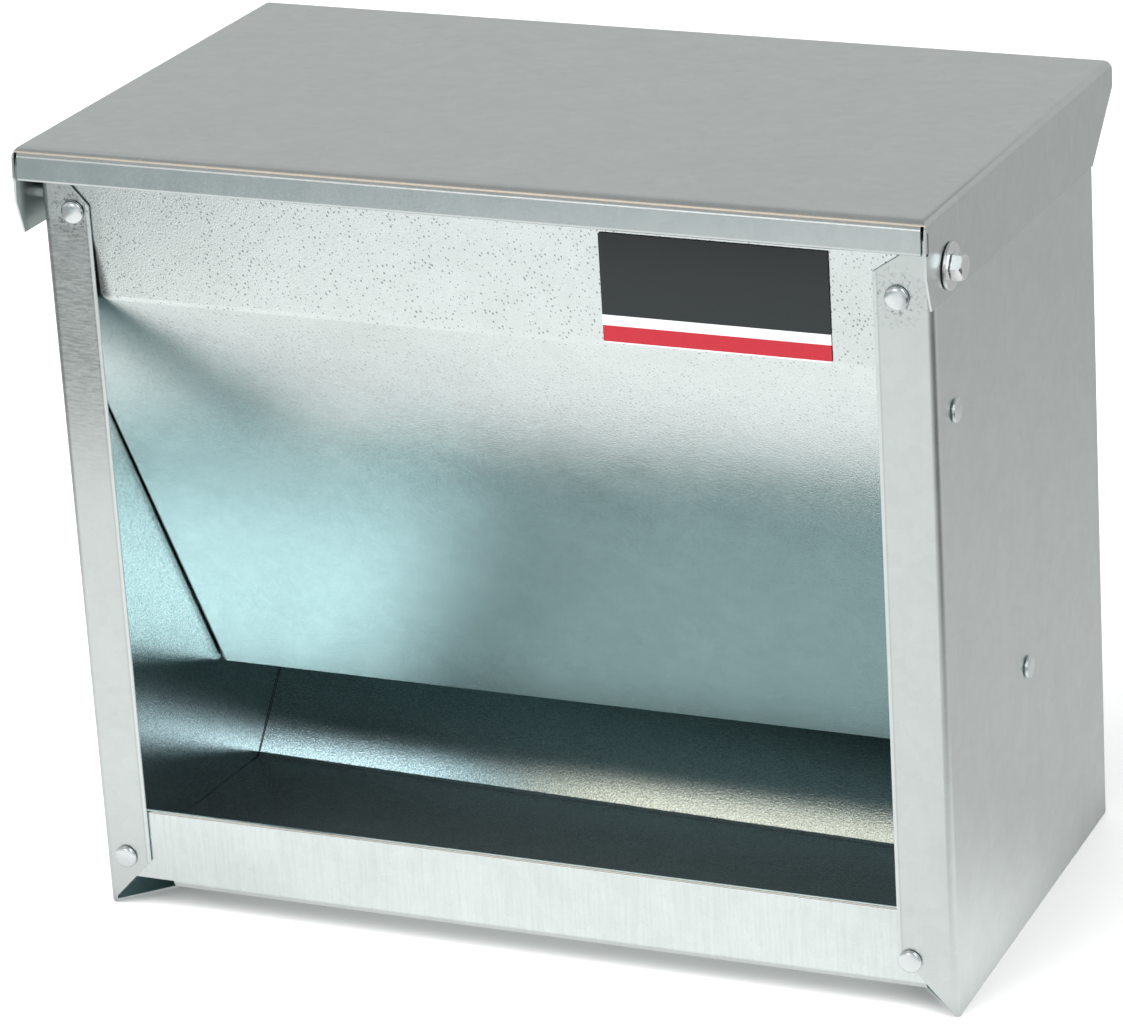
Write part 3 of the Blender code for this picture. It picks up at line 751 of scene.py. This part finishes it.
class Nodes:
    """A short way to build a node tree: each call adds a node and links its inputs."""

    def __init__(self, material):
        material.use_nodes = True
        self.tree = material.node_tree
        self.shader = self.tree.nodes.get("Principled BSDF")

    def add(self, kind):
        return self.tree.nodes.new("ShaderNode" + kind)

    def link(self, source, socket):
        if hasattr(source, "is_output"):
            self.tree.links.new(source, socket)
        else:
            socket.default_value = source

    def math(self, operation, first, *others):
        """Chain an operation through its values, from the left."""
        for other in others:
            node = self.add("Math")
            node.operation = operation
            self.link(first, node.inputs[0])
            self.link(other, node.inputs[1])
            first = node.outputs[0]
        return first

    def product(self, *values):
        return self.math("MULTIPLY", *values)

    def swing(self, value, share):
        """A value from 0 to 1 as a swing to both sides of zero."""
        return self.product(self.math("SUBTRACT", value, 0.5), share)

    def less(self, *values):
        """What is left of 1 after taking away a product."""
        return self.math("SUBTRACT", 1.0, self.product(*values))

    def gap(self, value, other):
        node = self.add("Math")
        node.operation = "ABSOLUTE"
        self.link(self.math("SUBTRACT", value, other), node.inputs[0])
        return node.outputs[0]

    def axes(self, vector):
        """The X, Y and Z of a vector."""
        node = self.add("SeparateXYZ")
        self.link(vector, node.inputs[0])
        return node.outputs

    def red(self, colour):
        node = self.add("SeparateColor")
        self.link(colour, node.inputs[0])
        return node.outputs[0]

    def place_mm(self, stretch=(1, 1, 1), turn=(0, 0, 0)):
        """Object coordinates in millimetres, turned and then stretched."""
        coords = self.add("TexCoord").outputs["Object"]
        rotate = self.add("Mapping")
        rotate.vector_type = "POINT"
        rotate.inputs["Rotation"].default_value = turn
        self.link(coords, rotate.inputs["Vector"])
        scale = self.add("Mapping")
        scale.inputs["Scale"].default_value = [1000 / share for share in stretch]
        self.link(rotate.outputs[0], scale.inputs["Vector"])
        return scale.outputs[0]

    def noise(self, vector, size_mm, detail=2.0, roughness=0.5):
        node = self.add("TexNoise")
        self.link(vector, node.inputs["Vector"])
        node.inputs["Scale"].default_value = 1 / size_mm
        node.inputs["Detail"].default_value = detail
        node.inputs["Roughness"].default_value = roughness
        return node.outputs["Fac"]

    def cells(self, vector, size_mm, output="Distance", dimensions="3D"):
        node = self.add("TexVoronoi")
        node.voronoi_dimensions = dimensions
        self.link(vector, node.inputs["Vector"])
        node.inputs["Scale"].default_value = 1 / size_mm
        return node.outputs[output]

    def range(self, value, low, high, to_low=0.0, to_high=1.0, smooth=True):
        node = self.add("MapRange")
        node.interpolation_type = "SMOOTHSTEP" if smooth else "LINEAR"
        for item, socket in zip((value, low, high, to_low, to_high), node.inputs):
            self.link(item, socket)
        return node.outputs[0]

    def blend(self, share, first, second, mode="MIX"):
        node = self.add("Mix")
        node.data_type = "RGBA"
        node.blend_type = mode
        self.link(share, node.inputs["Factor"])
        self.link(first, node.inputs[6])
        self.link(second, node.inputs[7])
        return node.outputs[2]

    def grey(self, value):
        node = self.add("CombineColor")
        for socket in node.inputs[:3]:
            self.link(value, socket)
        return node.outputs[0]

    def tinted(self, colour, level):
        return self.blend(1.0, colour, self.grey(level), "MULTIPLY")

    def surface(self, colour, rough, normal):
        """Link what the surface shader takes from other nodes."""
        self.link(colour, self.shader.inputs["Base Color"])
        self.link(rough, self.shader.inputs["Roughness"])
        self.link(normal, self.shader.inputs["Normal"])

    def bump(self, height, distance_mm, before=None):
        node = self.add("Bump")
        node.inputs["Distance"].default_value = distance_mm * MM
        self.link(height, node.inputs["Height"])
        if before is not None:
            self.link(before, node.inputs["Normal"])
        return node.outputs[0]


def rgba(colour):
    return (*colour, 1.0)


def distance_to(n, place, centres):
    """The distance in millimetres from a place to the nearest of some centres."""
    gaps = []
    for centre in centres:
        gap = n.add("VectorMath")
        gap.operation = "DISTANCE"
        n.link(place, gap.inputs[0])
        gap.inputs[1].default_value = centre / MM
        gaps.append(gap.outputs["Value"])
    return n.math("MINIMUM", *gaps)


# Textures: size in millimetres, then the noise's detail and roughness
GRAIN = (0.5, 3.0, 0.6)
BLOTCHES = (16.0, 2.0)
WAVES = (70.0, 1.0)
STREAKS = (1.1, 2.0, 0.6)
STREAK_STRETCH = (1.0, 1.0, 14.0)
CRYSTAL_SIZE = 3.2
CRYSTAL_TONE = 0.035
GRAIN_ROUGHNESS = 0.16
BLOTCH_ROUGHNESS = 0.08
FASTENER_GRAIN = (0.8, 3.0, 0.6)
FASTENER_ROUGHNESS = 0.2
# Mottling of the painted shade round the rivets and on the left flange's top
RIVET_SHADE_NOISE = (1.3, 4.0, 0.75)
TOP_SHADE_NOISE = (0.8, 4.0, 0.75)
TOP_SHADE_STRETCH = (3.5, 1.0, 0.6)

# Specks: dark pits on the baffle
SPECK_SIZE = 1.4
SPECK_STRETCH = (0.85, 1.2, 1.0)
SPECK_TURN = (math.pi / 2, 0, math.radians(40))
SPECK_PATCHES = (10.0, 3.0, 0.7)
SPECK_LIMIT = (0.25, 0.70, 0.12, 0.28)      # radius across the patches, as a share of a cell
SPECK_PICK = (0.1, 0.95, 0.2, 1.0)          # share of that, from cell to cell
SPECK_EDGE = (-0.02, 0.10)
SPECK_FADES = [(-1.0, 0.0, 0.45, 1.0), (-55.0, -5.0, 0.25, 1.0)]    # up from the crease
SPECK_ROUGHNESS = 0.15

# Painted light and shade on the sheets. Each fade is (from, to, before, after), in millimetres,
# or (from, to) for one that rises from 0 to 1.
# Painted shade round the top front rivets
RIVET_SHADE_REACH = (3.0, 11.0, 1.0, 0.0)        # from a rivet's centre
RIVET_SHADE_GRAIN = (0.50, 0.66)
RIVET_SHADE_DEPTH = 0.55
FLANGE_FACE = (1.0, 2.0, 1.0, 0.0)          # behind the flange's front
# Painted shade, mottled, over the top of the left flange
TOP_SHADE_FOOT = (120.0, 172.0)                  # above the ground
TOP_SHADE_HEAD = (203.0, 209.0, 1.0, 0.45)
TOP_SHADE_SIDE = (0.0, 1.0, 1.0, 0.0)            # only the left flange
TOP_SHADE_GRAIN = (0.25, 0.75, 0.40, 1.60)
TOP_SHADE_DEPTH = 0.34
# A painted highlight along each flange's free edge, and a painted shaded line just inside it
EDGE_HIGHLIGHT = (0.8, 1.1, 1.0, 0.0)           # in from a flange's free edge
EDGE_SHADE_LINE = ((0.9, 1.1), (1.3, 1.6, 1.0, 0.0))
EDGE_LIGHT_DEPTH = 0.12
# A painted shaded line along each seam on the slope
SEAM_LINE = (0.25, 0.45, 0.88, 0.0)         # in from a side panel
SEAM_FADE = 8.0                             # in front of the crease
# A painted shaded wedge at the left end of the baffle's crease
WEDGE_WIDTH = (5.5, 0.1)                    # at the crease and at its top
WEDGE_EDGE = (0.25, 1.0, 1.0, 0.0)          # share of that width
WEDGE_TAPER = 5.0
WEDGE_DEPTH = 0.72


def painted_flange_light_and_shade(n, place):
    """Painted shade round the top front rivets and on the left flange's top; painted free-edge
    highlights.
    """
    rivets = [middle_of("front_rivet_top_" + side) for side in SIDES]
    # Painted shade round each top front rivet, mottled
    rivet_shade = n.range(distance_to(n, place, rivets), *RIVET_SHADE_REACH)
    rivet_shade = n.product(rivet_shade, n.range(n.noise(place, *RIVET_SHADE_NOISE), *RIVET_SHADE_GRAIN))
    across, back, up = n.axes(place)
    free_edges = [PANEL_X[side] - sign * FRONT_FLANGE[side] for side, sign in SIDES.items()]
    inwards = n.math("MINIMUM", *[n.gap(across, edge / MM) for edge in free_edges])
    facing = n.range(n.math("SUBTRACT", back, FRONT_Y / MM), *FLANGE_FACE)
    # Painted highlight along each free edge, and a painted shaded line just inside it
    strip = n.range(inwards, *EDGE_HIGHLIGHT)
    line = n.product(*[n.range(inwards, *fade) for fade in EDGE_SHADE_LINE])
    texture = n.noise(n.place_mm(stretch=TOP_SHADE_STRETCH), *TOP_SHADE_NOISE)
    # Painted shade, mottled, over the top of the left flange, kept off its free edge
    flange_top_shade = n.product(
        n.range(up, *TOP_SHADE_FOOT), n.range(up, *TOP_SHADE_HEAD), n.less(strip),
        n.range(across, *TOP_SHADE_SIDE), n.range(texture, *TOP_SHADE_GRAIN),
    )
    dark = n.math(
        "ADD", n.product(rivet_shade, RIVET_SHADE_DEPTH), n.product(flange_top_shade, TOP_SHADE_DEPTH),
        n.product(line, EDGE_LIGHT_DEPTH),
    )
    dark = n.math("SUBTRACT", dark, n.product(strip, EDGE_LIGHT_DEPTH))
    return n.less(dark, facing)


def painted_seam_shade(n, place):
    """Painted shade: the dark line down the slope where the trough meets each side panel."""
    across, back, _ = n.axes(place)
    ends = [PANEL_X[side] - sign * GAUGE for side, sign in SIDES.items()]
    inwards = n.math("MINIMUM", *[n.gap(across, end / MM) for end in ends])
    crease = (FRONT_Y + CREASE_Y) / MM
    return n.less(n.range(inwards, *SEAM_LINE), n.range(back, crease - SEAM_FADE, crease))


def painted_corner_shade(n, place):
    """Painted shade: a wedge where the left end of the baffle's crease is pulled back behind the
    flange.
    """
    across, _, up = n.axes(place)
    flange_edge = (PANEL_X["left"] + FRONT_FLANGE["left"]) / MM
    foot = BAFFLE_CREASE_Z / MM
    top = foot + CORNER_RISE / MM
    width = n.range(up, foot, top, *WEDGE_WIDTH, smooth=False)
    beside = n.math("DIVIDE", n.math("SUBTRACT", across, flange_edge), width)
    wedge = n.product(
        n.range(beside, *WEDGE_EDGE), n.range(up, foot - 1.0, foot + 0.5),
        n.range(up, top - WEDGE_TAPER, top, 1.0, 0.0),
    )
    return n.less(wedge, WEDGE_DEPTH)


def speck_cover(n, place):
    """Small dark pits: uneven in size and number, and fainter below the baffle's crease."""
    slanted = n.place_mm(stretch=SPECK_STRETCH, turn=SPECK_TURN)
    pick = n.red(n.cells(slanted, SPECK_SIZE, "Color", "2D"))
    limit = n.range(n.noise(place, *SPECK_PATCHES), *SPECK_LIMIT)
    limit = n.product(limit, n.range(pick, *SPECK_PICK))
    spot = n.cells(slanted, SPECK_SIZE, dimensions="2D")
    rise = n.math("SUBTRACT", n.axes(place)[2], BAFFLE_CREASE_Z / MM)
    cover = n.range(n.math("SUBTRACT", limit, spot), *SPECK_EDGE)
    return n.product(cover, *[n.range(rise, *fade) for fade in SPECK_FADES])


def galvanised(
    name, colour, roughness, specks=0.0, streaks=0.0, wave=0.1, grain=0.02, blotch=0.06,
    metallic=1.0, sparkle=0.12, painted_light_and_shade=None,
):
    """Hot-dip zinc: a matt grain, faint crystals, soft blotches, dark specks and rolled streaks."""
    material = bpy.data.materials.new(name)
    n = Nodes(material)
    place = n.place_mm()
    fine = n.noise(place, *GRAIN)
    blotches = n.noise(place, *BLOTCHES)
    crystals = n.red(n.cells(place, CRYSTAL_SIZE, "Color"))
    streak = n.noise(n.place_mm(stretch=STREAK_STRETCH), *STREAKS)
    tone = n.math(
        "ADD", 1.0, n.swing(fine, sparkle), n.swing(blotches, blotch * 2),
        n.swing(crystals, CRYSTAL_TONE), n.swing(streak, streaks),
    )
    rough = n.swing(fine, GRAIN_ROUGHNESS)
    rough = n.math("ADD", roughness, rough, n.swing(blotches, BLOTCH_ROUGHNESS))
    height = n.bump(fine, grain, n.bump(n.noise(place, *WAVES), wave))
    if specks:
        cover = speck_cover(n, place)
        tone = n.product(tone, n.less(cover, specks))
        rough = n.math("ADD", rough, n.product(cover, SPECK_ROUGHNESS))
    # Painted light and shade, multiplied into the colour
    if painted_light_and_shade:
        tone = n.product(tone, painted_light_and_shade(n, place))
    n.surface(n.tinted(rgba(colour), tone), rough, height)
    n.shader.inputs["Metallic"].default_value = metallic
    return material


def plain_metal(name, colour, roughness, grain, tone_share):
    """Turned or plated metal with a fine grain."""
    material = bpy.data.materials.new(name)
    n = Nodes(material)
    fine = n.noise(n.place_mm(), *FASTENER_GRAIN)
    tone = n.math("ADD", 1.0, n.swing(fine, tone_share))
    rough = n.math("ADD", roughness, n.swing(fine, FASTENER_ROUGHNESS))
    n.surface(n.tinted(rgba(colour), tone), rough, n.bump(fine, grain))
    n.shader.inputs["Metallic"].default_value = 1.0
    return material


# The label's colours, from its foot up, and where each gives way to the next, as a share of height
WHITE = (0.78, 0.80, 0.80)
RED = (0.44, 0.010, 0.024)
CHARCOAL = (0.014, 0.020, 0.021)
LABEL_BANDS = [(0.013, RED), (0.160, WHITE), (0.255, CHARCOAL)]
LABEL_BLUR = 0.05                       # half the width of the change, in millimetres
LABEL_WEAR = (0.35, 3.0, 0.6)
LABEL_WEAR_TONE = 0.10
LABEL_ROUGHNESS = (0.3, 0.7, 0.30, 0.42)    # across the wear
LABEL_RIPPLE = (9.0, 2.0)
LABEL_RIPPLE_DEPTH = 0.03


def label_film():
    """A blank printed film: a charcoal field over a white line, a red band and a white foot."""
    material = bpy.data.materials.new("label_film")
    n = Nodes(material)
    low, high = LABEL_BOX
    place = n.place_mm()
    up = n.math("SUBTRACT", n.axes(place)[2], low.z / MM)
    colour = rgba(WHITE)
    for share, ink in LABEL_BANDS:
        level = share * (high.z - low.z) / MM
        colour = n.blend(n.range(up, level - LABEL_BLUR, level + LABEL_BLUR), colour, rgba(ink))
    wear = n.noise(place, *LABEL_WEAR)
    tone = n.math("ADD", 1.0, n.swing(wear, LABEL_WEAR_TONE))
    ripple = n.bump(n.noise(place, *LABEL_RIPPLE), LABEL_RIPPLE_DEPTH)
    n.surface(n.tinted(colour, tone), n.range(wear, *LABEL_ROUGHNESS), ripple)
    return material


# Build

# The outside zinc, with painted shade round the top front rivets and on the left flange's top, and
# painted highlights along the flanges' free edges
zinc_out = galvanised(
    "zinc_outside", (0.745, 0.80, 0.79), 0.32, streaks=0.03, painted_light_and_shade=painted_flange_light_and_shade
)
# The baffle's zinc, with a painted shaded wedge at the left end of its crease
zinc_front = galvanised(
    "zinc_front", (0.84, 0.91, 0.90), 0.15, specks=0.50, streaks=0.03, wave=0.3, grain=0.04,
    sparkle=0.30, painted_light_and_shade=painted_corner_shade,
)
zinc_lip = galvanised("zinc_lip", (0.83, 0.90, 0.89), 0.21, streaks=0.16)
zinc_in = galvanised("zinc_inside", (0.89, 0.95, 0.97), 0.09, wave=0.2, grain=0.06, sparkle=1.6)
# Painted shade: a darker, rougher copy of the zinc for the backs of the side panels' front flanges
zinc_shaded_flange_back = galvanised("zinc_flange_back_painted_shade", (0.45, 0.56, 0.58), 0.65)
# The trough's zinc, with a painted shaded line along each seam on the slope
zinc_trough = galvanised(
    "zinc_trough", (0.62, 0.80, 0.83), 0.05, wave=0.2, grain=0.05, metallic=0.93, sparkle=1.5,
    painted_light_and_shade=painted_seam_shade,
)
# Painted shade: a much darker copy of the zinc for the baffle's inside, the lid's underside, the
# trough's cut edges and the tops of the bottom flanges
zinc_painted_shade = galvanised("zinc_painted_shade", (0.26, 0.40, 0.41), 0.35)
zinc_lid = galvanised(
    "zinc_lid", (0.71, 0.76, 0.75), 0.23, streaks=0.05, grain=0.006, blotch=0.05
)
zinc_edge = galvanised("zinc_cut_edge", (0.66, 0.71, 0.71), 0.40, metallic=0.7)
aluminium = plain_metal("rivet_aluminium", (0.86, 0.91, 0.92), 0.18, 0.01, 0.08)
zinc_plate = plain_metal("zinc_plate", (0.90, 0.92, 0.92), 0.20, 0.003, 0.06)
film = label_film()

pivot_bit = drill(BOLT_RADIUS + HOLE_CLEARANCE, 2 * (LID_BOX[1].x - LID_BOX[0].x))
panel_zinc = [zinc_out, zinc_in, zinc_edge, zinc_shaded_flange_back, zinc_painted_shade]
for side in SIDES:
    panel = make_side_panel(side, panel_zinc, pivot_bit)
    place_on(panel, "body", "side_panel_" + side)
# The trough's cut edges take the darkest zinc, painted shade along its seams
trough = make_trough_back([zinc_lip, zinc_trough, zinc_painted_shade])
place_on(trough, "body", "trough_back")
place_on(make_baffle([zinc_front, zinc_painted_shade, zinc_edge]), "body", "baffle")
place_on(make_lid([zinc_lid, zinc_painted_shade, zinc_edge], pivot_bit), "lid", "lid")
discard(pivot_bit)

place_on(make_label(film), "body", "label")
for side, sign in SIDES.items():
    place_on(make_bolt(side, zinc_plate), "body", "pivot_bolt_" + side)
    place_on(make_washer(side, zinc_plate), "body", "pivot_washer_" + side)
    place_on(make_nut(side, zinc_plate), "body", "pivot_nut_" + side)
    for where in ("top", "bottom"):
        for end, axis in (("front", (0, -1, 0)), ("rear", (0, 1, 0))):
            node = f"{end}_rivet_{where}_{side}"
            place_on(make_rivet(node, axis, aluminium), "body", node)
    for where in ("upper", "lower"):
        node = f"baffle_rivet_{where}_{side}"
        place_on(make_rivet(node, (sign, 0, 0), aluminium), "body", node)


# Stage: floor, light and camera

# The room's brightness against the sine of the height above the horizon
FRONT_ROOM = [(0.0, 0.60), (0.12, 0.60), (0.30, 0.36), (0.50, 0.46), (0.65, 0.40), (1.0, 0.34)]
BACK_ROOM = [(0.0, 0.53), (0.60, 0.53), (0.85, 0.38), (1.0, 0.34)]

# Soft glows in the room: direction, angles of the full and the faded edge, and added colour
GLOWS = [
    ((0.43, -0.75, 0.50), 8, 17, (1.50, 1.46, 1.46)),
    ((0.42, -0.47, 0.78), 6, 14, (1.25, 1.32, 1.36)),
    ((-0.37, -0.48, 0.80), 4, 11, (1.08, 0.78, 0.54)),
    ((-0.33, -0.93, 0.17), 4, 9, (1.30, 1.30, 1.30)),
]

# The lit table's brightness on the reflector, faded along X or Y in millimetres:
# (from, to, before, after), or (from, to) for one that rises from 0 to 1
BASE_FADES = {"y": [(-100.0, 60.0, 0.36, 0.57), (120.0, 520.0, 1.0, 0.80)]}
DARK_CORNER = {"x": [(60.0, 170.0)], "y": [(-190.0, -95.0, 0.75, 0.0)]}
PATCH_LEVEL = (-130.0, -76.0, 0.58)         # along Y, up to the level of NEAR_LEVEL
NEAR_LEVEL = (-130.0, -30.0, 0.40, 0.60)    # along X
PATCH_FADES = {
    "y": [(-950.0, -620.0), (-60.0, 60.0, 1.0, 0.0)],
    "x": [(-410.0, -350.0), (200.0, 400.0, 1.0, 0.0)],
}
PATCH_SLANT = 0.45
SLANT_FADE = (110.0, 200.0, 1.0, 0.85)      # along X less that share of Y
FAR_FADES = {"y": [(-950.0, -620.0, 0.40, 0.0)], "x": [(-740.0, -330.0)]}
UNDER_FADES = {     # the shade beneath the feeder
    "y": [(-80.0, -70.0), (70.0, 85.0, 0.3, 0.0)],
    "x": [(124.0, 140.0, 1.0, 0.0), (-140.0, -126.0)],
}
FAR_TINT_X = (-560.0, -330.0)
FAR_TINT_Y = (-950.0, -620.0)
FAR_TINTS = [(0.84, 0.98, 1.0), (0.97, 0.99, 1.0)]      # left and right
TABLE_TINT = (1.0, 1.0, 0.99)

# Softboxes: name, place, target, size and power
LIGHTS = [
    ("key", (-0.7, -0.9, 1.7), (0, 0, 0.05), 1.8, 52),
    ("fill", (1.2, -0.4, 1.5), (0, 0, 0.1), 1.4, 18),
    ("rear", (0.0, 1.5, 1.6), (0, 0.5, 0.0), 1.6, 14),
]

STAGE_REACH = 4.0
FLOOR_Z = -0.2 * MM
REFLECTOR_Z = -0.3 * MM


def stage_sheet(name, z):
    """A level sheet far wider than the feeder, just under it, with a material of its own."""
    bm = bmesh.new()
    bmesh.ops.create_grid(bm, x_segments=1, y_segments=1, size=STAGE_REACH)
    sheet = new_object(name, bm)
    sheet.location.z = z
    material = bpy.data.materials.new(name)
    sheet.data.materials.append(material)
    return sheet, material


def make_floor():
    """The pale floor that the camera sees and the metal doesn't."""
    floor, material = stage_sheet("floor", FLOOR_Z)
    floor.visible_glossy = False
    n = Nodes(material)
    n.shader.inputs["Base Color"].default_value = rgba((0.88, 0.88, 0.88))
    n.shader.inputs["Roughness"].default_value = 0.9
    n.shader.inputs["Specular IOR Level"].default_value = 0.2


def make_reflector():
    """The lit table as the metal sees it: brightest in front of the feeder, dimmer all round."""
    card, material = stage_sheet("reflector", REFLECTOR_Z)
    for ray in ("camera", "diffuse", "transmission", "shadow", "volume_scatter"):
        setattr(card, "visible_" + ray, False)
    n = Nodes(material)
    across, back, _ = n.axes(n.place_mm())

    def fades(table):
        along = {"x": across, "y": back}
        return [n.range(along[axis], *fade) for axis in table for fade in table[axis]]

    slanted = n.math("SUBTRACT", across, n.product(back, PATCH_SLANT))
    patch = n.range(back, *PATCH_LEVEL, n.range(across, *NEAR_LEVEL))
    patch = n.product(patch, *fades(PATCH_FADES), n.range(slanted, *SLANT_FADE))
    patch = n.math("ADD", patch, n.product(*fades(FAR_FADES)))
    base = n.product(*fades(BASE_FADES), n.less(*fades(DARK_CORNER)))
    level = n.product(n.math("ADD", patch, base), n.less(*fades(UNDER_FADES)))
    distant = n.blend(n.range(across, *FAR_TINT_X), *[rgba(tint) for tint in FAR_TINTS])
    tint = n.blend(n.range(back, *FAR_TINT_Y), distant, rgba(TABLE_TINT))
    glow = n.add("Emission")
    n.link(n.tinted(tint, level), glow.inputs["Color"])
    n.link(glow.outputs[0], n.tree.nodes["Material Output"].inputs["Surface"])
    material.cycles.emission_sampling = "NONE"


def area_light(name, place, target, size, power):
    """A softbox that lights the floor and the label; the metal sees only the room and the table."""
    light = bpy.data.lights.new(name, "AREA")
    light.shape = "RECTANGLE"
    light.size = light.size_y = size
    light.energy = power
    lamp = bpy.data.objects.new(name, light)
    bpy.context.scene.collection.objects.link(lamp)
    lamp.location = place
    lamp.visible_glossy = False
    lamp.rotation_mode = "QUATERNION"
    lamp.rotation_quaternion = (Vector(target) - Vector(place)).to_track_quat("-Z", "Y")


def make_world():
    """A soft room: bright low in front, even behind, dim overhead, with glows in front."""
    world = bpy.data.worlds.new("studio")
    n = Nodes(world)
    towards = n.add("TexCoord").outputs["Generated"]
    _, back, up = n.axes(towards)
    rooms = []
    for stops in (FRONT_ROOM, BACK_ROOM):
        ramp = n.add("ValToRGB")
        ramp.color_ramp.interpolation = "EASE"
        points = ramp.color_ramp.elements
        while len(points) < len(stops):
            points.new(0.5)
        for point, (height, level) in zip(points, stops):
            point.position = height
            point.color = rgba((level, level, level))
        n.link(up, ramp.inputs[0])
        rooms.append(ramp.outputs[0])
    colour = n.blend(n.range(back, -0.5, 0.3), *rooms)
    for direction, full, faded, glow in GLOWS:
        aim = n.add("VectorMath")
        aim.operation = "DOT_PRODUCT"
        n.link(towards, aim.inputs[0])
        aim.inputs[1].default_value = Vector(direction).normalized()
        limits = [math.cos(math.radians(angle)) for angle in (faded, full)]
        colour = n.blend(n.range(aim.outputs["Value"], *limits), colour, rgba(glow), "ADD")
    n.link(colour, n.tree.nodes["Background"].inputs["Color"])
    bpy.context.scene.world = world


def make_camera():
    """A long lens from the front, right and above, turned a little about its own axis."""
    azimuth = math.radians(23.70)
    elevation = math.radians(22.64)
    roll = math.radians(-3.54)
    distance = 1.542
    target = Vector((-0.0011, -0.0127, 0.1050))
    back = Vector((
        math.sin(azimuth) * math.cos(elevation),
        -math.cos(azimuth) * math.cos(elevation),
        math.sin(elevation),
    ))
    lens = bpy.data.cameras.new("camera")
    lens.sensor_width = 36.0
    lens.lens = 178.1
    lens.shift_x = -0.0089
    lens.shift_y = 0.0125
    lens.clip_start = 0.05
    camera = bpy.data.objects.new("camera", lens)
    bpy.context.scene.collection.objects.link(camera)
    camera.location = target + back * distance
    camera.rotation_mode = "QUATERNION"
    aim = (-back).to_track_quat("-Z", "Y")
    camera.rotation_quaternion = (aim.to_matrix() @ Matrix.Rotation(roll, 3, "Z")).to_quaternion()
    bpy.context.scene.camera = camera


make_floor()
make_reflector()
make_world()
for softbox in LIGHTS:
    area_light(*softbox)
make_camera()
bpy.context.scene.view_settings.view_transform = "Standard"
